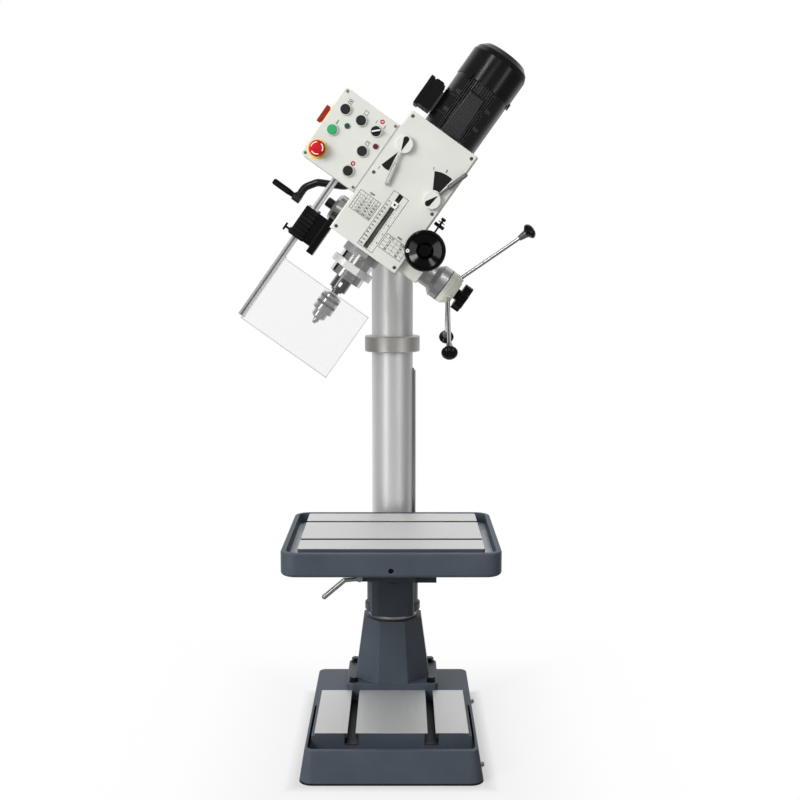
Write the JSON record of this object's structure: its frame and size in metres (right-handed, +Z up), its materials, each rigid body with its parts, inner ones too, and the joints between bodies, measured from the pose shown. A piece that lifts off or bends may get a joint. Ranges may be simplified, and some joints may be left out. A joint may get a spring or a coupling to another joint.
{
  "type": "geared pillar drill",
  "caption": "Floor-standing geared pillar drill with a tilted head, slotted rising table and base, lever quill feed, fine feed wheel, control box, clear chuck guard and top motor.",
  "frame": {"origin": "on the floor under the column axis", "axes": "+Z up along the column, -Y to the front where the operator stands, +X to the operator's right"},
  "size_m": [0.7593, 0.7263, 1.8456],
  "materials": {
    "blue_paint": "satin",
    "ground_steel": "ground",
    "gear_steel": "machined",
    "bronze": "machined",
    "black_bolt": "blackened",
    "grey_paint": "satin",
    "housing_grey": "satin",
    "black_paint": "satin",
    "black_plastic": "gloss",
    "bezel_plastic": "satin",
    "green_plastic": "satin",
    "red_plastic": "satin",
    "guard_aluminium": "anodised",
    "clear_pane": "clear"
  },
  "bodies": {
    "stand": {"base_casting": "blue_paint", "coolant_fittings": "ground_steel", "column_foot": "blue_paint", "foot_bolts": "black_bolt", "column_tube": "ground_steel", "column_rings": "ground_steel", "table_rack": "gear_steel", "head_bracket": "blue_paint", "bracket_bolts": "black_bolt", "tilt_wheel": "gear_steel"},
    "table": {"work_table": "blue_paint", "table_bracket": "blue_paint", "table_bolts": "black_bolt"},
    "head": {"gearbox_casting": "grey_paint", "front_plate": "grey_paint", "plate_screws": "black_bolt", "motor_housing": "black_paint", "fan_cover": "black_paint", "terminal_box": "black_paint", "feed_housing": "housing_grey", "spring_housing": "housing_grey", "control_box": "grey_paint", "control_panel": "grey_paint", "panel_fittings": "bezel_plastic", "guard_bracket": "black_paint"},
    "quill": {"quill": "ground_steel", "spindle_bearings": "gear_steel", "depth_gauge": "ground_steel"},
    "spindle": {"spindle": "ground_steel", "drill_chuck": "ground_steel"},
    "feed": {"feed_shaft": "gear_steel", "feed_hub": "grey_paint", "feed_levers": "ground_steel", "lever_knobs": "black_plastic"},
    "fine_feed": {"handwheel": "black_plastic", "feed_worm": "gear_steel"},
    "guard": {"guard_post": "guard_aluminium", "guard_pane": "clear_pane"},
    "table_clamp_lever": {"table_clamp_lever": "ground_steel"},
    "lift_crank": {"lift_crank": "black_paint"},
    "lift_grip": {"lift_grip": "black_plastic"},
    "motor_rotor": {"motor_rotor": "gear_steel"},
    "layshaft": {"layshaft": "gear_steel"},
    "drive_sleeve": {"drive_sleeve": "gear_steel"},
    "clutch_knob": {"clutch_knob": "black_plastic"},
    "worm_wheel": {"worm_wheel": "bronze"},
    "lock_screw": {"lock_screw": "black_plastic"},
    "speed_lever_left": {"speed_lever_left": "ground_steel"},
    "speed_lever_right": {"speed_lever_right": "ground_steel"},
    "light_button": {"light_button": "black_plastic"},
    "coolant_button": {"coolant_button": "black_plastic"},
    "reverse_button": {"reverse_button": "black_plastic"},
    "off_button": {"off_button": "black_plastic"},
    "start_button": {"start_button": "green_plastic"},
    "emergency_stop": {"emergency_stop": "red_plastic"},
    "selector_switch": {"selector_switch": "black_plastic"},
    "main_switch": {"main_switch": "red_plastic"},
    "guard_thumbscrew": {"guard_thumbscrew": "black_plastic"},
    "tilt_crank": {"tilt_crank": "black_paint"},
    "tilt_grip": {"tilt_grip": "black_plastic"}
  },
  "joints": [
    {"name": "table_lift", "type": "slide", "parent": "stand", "child": "table", "axis": [0, 0, 1], "range_m": [0, 0.3]},
    {"name": "table_clamp", "type": "hinge", "parent": "table", "child": "table_clamp_lever", "pos_m": [-0.0935, -0.031, 0.401], "axis": [0, 1, 0], "range_deg": [-30, 60]},
    {"name": "lift_turn", "type": "hinge", "parent": "table", "child": "lift_crank", "pos_m": [0.08, 0.09, 0.422], "axis": [0, 1, 0], "range_deg": [-1075, 0]},
    {"name": "lift_grip_spin", "type": "hinge", "parent": "lift_crank", "child": "lift_grip", "pos_m": [0.18595, 0.15, 0.47834], "axis": [0, 1, 0], "continuous": true},
    {"name": "head_tilt", "type": "hinge", "parent": "stand", "child": "head", "pos_m": [0, -0.302, 1.425], "axis": [0, 1, 0], "range_deg": [-80.5, 9.5]},
    {"name": "tilt_turn", "type": "hinge", "parent": "head", "child": "tilt_crank", "pos_m": [-0.06342, -0.157, 1.52551], "axis": [0.8141, 0, -0.5807], "range_deg": [-3542, 418]},
    {"name": "tilt_grip_spin", "type": "hinge", "parent": "tilt_crank", "child": "tilt_grip", "pos_m": [-0.27555, -0.157, 1.48643], "axis": [0.8141, 0, -0.5807], "continuous": true},
    {"name": "quill_feed", "type": "slide", "parent": "head", "child": "quill", "axis": [-0.5807, 0, -0.8141], "range_m": [0, 0.12], "stiffness_N_per_m": 400, "springref_m": -0.6},
    {"name": "feed_turn", "type": "hinge", "parent": "head", "child": "feed", "pos_m": [0.15387, -0.2475, 1.22742], "axis": [0.8141, 0, -0.5807], "range_deg": [0, 492]},
    {"name": "clutch_turn", "type": "hinge", "parent": "feed", "child": "clutch_knob", "pos_m": [0.18643, -0.2475, 1.20419], "axis": [0.8141, 0, -0.5807], "range_deg": [0, 90]},
    {"name": "motor_spin", "type": "hinge", "parent": "head", "child": "motor_rotor", "pos_m": [0.18154, -0.262, 1.66401], "axis": [0.5807, 0, 0.8141], "continuous": true},
    {"name": "layshaft_spin", "type": "hinge", "parent": "head", "child": "layshaft", "pos_m": [0.03068, -0.24301, 1.55052], "axis": [0.5807, 0, 0.8141], "continuous": true},
    {"name": "sleeve_spin", "type": "hinge", "parent": "head", "child": "drive_sleeve", "pos_m": [0.06968, -0.302, 1.52269], "axis": [0.5807, 0, 0.8141], "continuous": true},
    {"name": "spindle_spin", "type": "hinge", "parent": "quill", "child": "spindle", "pos_m": [-0.13356, -0.302, 1.23775], "axis": [0.5807, 0, 0.8141], "continuous": true},
    {"name": "fine_feed_turn", "type": "hinge", "parent": "head", "child": "fine_feed", "pos_m": [0.08208, -0.442, 1.32653], "axis": [0, 1, 0], "continuous": true},
    {"name": "worm_wheel_turn", "type": "hinge", "parent": "head", "child": "worm_wheel", "pos_m": [0.05943, -0.2475, 1.29478], "axis": [0.8141, 0, -0.5807], "continuous": true},
    {"name": "lock_turn", "type": "hinge", "parent": "head", "child": "lock_screw", "pos_m": [0.11929, -0.362, 1.38904], "axis": [0.5807, 0, 0.8141], "range_deg": [0, 270]},
    {"name": "left_speed_turn", "type": "hinge", "parent": "head", "child": "speed_lever_left", "pos_m": [0.03186, -0.417, 1.58161], "axis": [0, 1, 0], "range_deg": [0, 22]},
    {"name": "right_speed_turn", "type": "hinge", "parent": "head", "child": "speed_lever_right", "pos_m": [0.09868, -0.417, 1.44797], "axis": [0, 1, 0], "range_deg": [-40, 0]},
    {"name": "selector_turn", "type": "hinge", "parent": "head", "child": "selector_switch", "pos_m": [-0.03651, -0.414, 1.61318], "axis": [0, 1, 0], "range_deg": [-90, 0]},
    {"name": "main_switch_turn", "type": "hinge", "parent": "head", "child": "main_switch", "pos_m": [-0.16057, -0.37, 1.65623], "axis": [0.8141, 0, -0.5807], "range_deg": [0, 90]},
    {"name": "guard_swing", "type": "hinge", "parent": "head", "child": "guard", "pos_m": [-0.21818, -0.31, 1.39638], "axis": [0.5807, 0, 0.8141], "range_deg": [-100, 0]},
    {"name": "guard_screw_turn", "type": "hinge", "parent": "head", "child": "guard_thumbscrew", "pos_m": [-0.2656, -0.31, 1.38844], "axis": [0.8141, 0, -0.5807], "range_deg": [0, 270]},
    {"name": "light_button_press", "type": "slide", "parent": "head", "child": "light_button", "axis": [0, 1, 0], "range_m": [0, 0.004], "stiffness_N_per_m": 400, "springref_m": -0.003},
    {"name": "coolant_button_press", "type": "slide", "parent": "head", "child": "coolant_button", "axis": [0, 1, 0], "range_m": [0, 0.004], "stiffness_N_per_m": 400, "springref_m": -0.003},
    {"name": "reverse_button_press", "type": "slide", "parent": "head", "child": "reverse_button", "axis": [0, 1, 0], "range_m": [0, 0.004], "stiffness_N_per_m": 400, "springref_m": -0.003},
    {"name": "off_button_press", "type": "slide", "parent": "head", "child": "off_button", "axis": [0, 1, 0], "range_m": [0, 0.004], "stiffness_N_per_m": 400, "springref_m": -0.003},
    {"name": "start_button_press", "type": "slide", "parent": "head", "child": "start_button", "axis": [0, 1, 0], "range_m": [0, 0.004], "stiffness_N_per_m": 400, "springref_m": -0.003},
    {"name": "emergency_stop_press", "type": "slide", "parent": "head", "child": "emergency_stop", "axis": [0, 1, 0], "range_m": [0, 0.004], "stiffness_N_per_m": 400, "springref_m": -0.003}
  ],
  "couplings": [
    {"joint": "lift_turn", "follows": "table_lift", "rad_per_m": -62.5},
    {"joint": "tilt_turn", "follows": "head_tilt", "ratio": 44},
    {"joint": "feed_turn", "follows": "quill_feed", "rad_per_m": 71.429},
    {"joint": "layshaft_spin", "follows": "motor_spin", "ratio": -0.42857},
    {"joint": "sleeve_spin", "follows": "motor_spin", "ratio": 0.1746},
    {"joint": "spindle_spin", "follows": "motor_spin", "ratio": 0.1746},
    {"joint": "worm_wheel_turn", "follows": "fine_feed_turn", "ratio": 0.027778}
  ]
}
